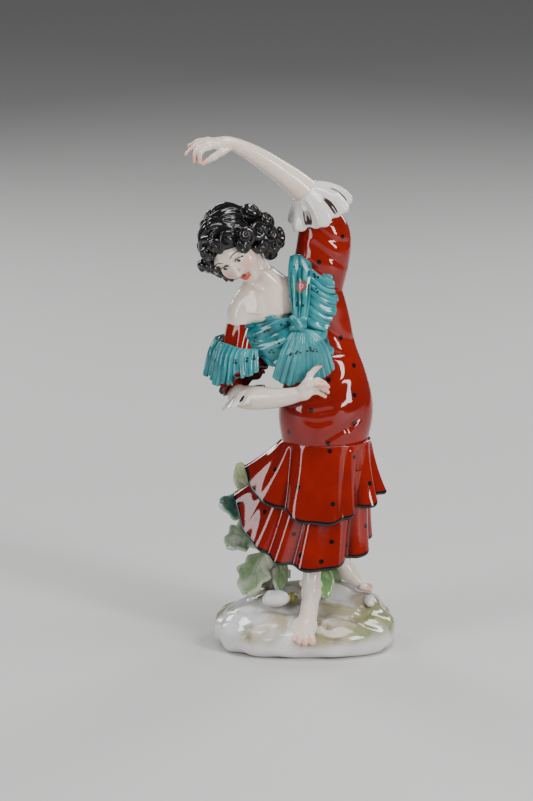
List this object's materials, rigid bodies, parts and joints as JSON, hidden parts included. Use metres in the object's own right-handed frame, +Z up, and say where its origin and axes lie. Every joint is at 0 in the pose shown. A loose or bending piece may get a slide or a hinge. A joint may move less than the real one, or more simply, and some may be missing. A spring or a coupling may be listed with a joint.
{
  "type": "figurine",
  "caption": "Glazed porcelain figurine of a flamenco dancer in a red spotted dress and turquoise shawl, one arm raised, on a round mound base.",
  "frame": {"origin": "the middle of the flat underside of the base", "axes": "+Z up, +X to the figure's left hand side, which is the right of somebody facing it, -Y the way the figure faces"},
  "size_m": [0.1081, 0.0794, 0.2685],
  "materials": {
    "glaze_skin": "clear gloss glaze over a cream flesh tint",
    "glaze_red": "gloss brick-red glaze with black spots",
    "glaze_teal": "gloss turquoise glaze",
    "glaze_black": "gloss black glaze",
    "glaze_lace": "gloss white glaze with brown fold lines",
    "glaze_ground": "gloss white glaze with olive and brown washes",
    "glaze_leaf": "gloss green glaze over white",
    "glaze_bark": "gloss grey-brown glaze"
  },
  "bodies": {
    "root": {"base_casting": "glaze_ground", "pebble_left": "glaze_ground", "pebble_right": "glaze_ground", "gown_casting": "glaze_red", "upper_flounce": "glaze_red", "lower_flounce": "glaze_red", "skirt_floor": "glaze_red", "raised_sleeve": "glaze_red", "lowered_sleeve": "glaze_red", "tree_stump": "glaze_bark", "leaf_upper_left": "glaze_leaf", "leaf_middle_left": "glaze_leaf", "leaf_lower_left": "glaze_leaf", "leaf_ground_left": "glaze_leaf", "leaf_ground_middle": "glaze_leaf", "leaf_between_feet": "glaze_leaf", "leaf_ground_right": "glaze_leaf", "leaf_stump_back": "glaze_leaf", "leaf_stump_right": "glaze_leaf", "pebble_bud": "glaze_leaf", "standing_leg": "glaze_skin", "rear_leg": "glaze_skin", "neck_and_shoulders": "glaze_skin", "head_casting": "glaze_skin", "raised_forearm": "glaze_skin", "raised_hand": "glaze_skin", "lowered_forearm": "glaze_skin", "lowered_hand": "glaze_skin", "hair_casting": "glaze_black", "hair_curls_right": "glaze_black", "hair_curls_left": "glaze_black", "hair_fringe": "glaze_black", "raised_cuff": "glaze_lace", "lowered_cuff": "glaze_lace", "shawl_wrap": "glaze_teal", "shawl_strap": "glaze_teal", "shawl_knot": "glaze_teal", "shawl_tail_left": "glaze_teal", "shawl_tail_right": "glaze_teal", "shawl_shoulder_fringe": "glaze_teal", "shawl_arm_fringe": "glaze_teal", "shawl_back": "glaze_teal"}
  },
  "joints": []
}
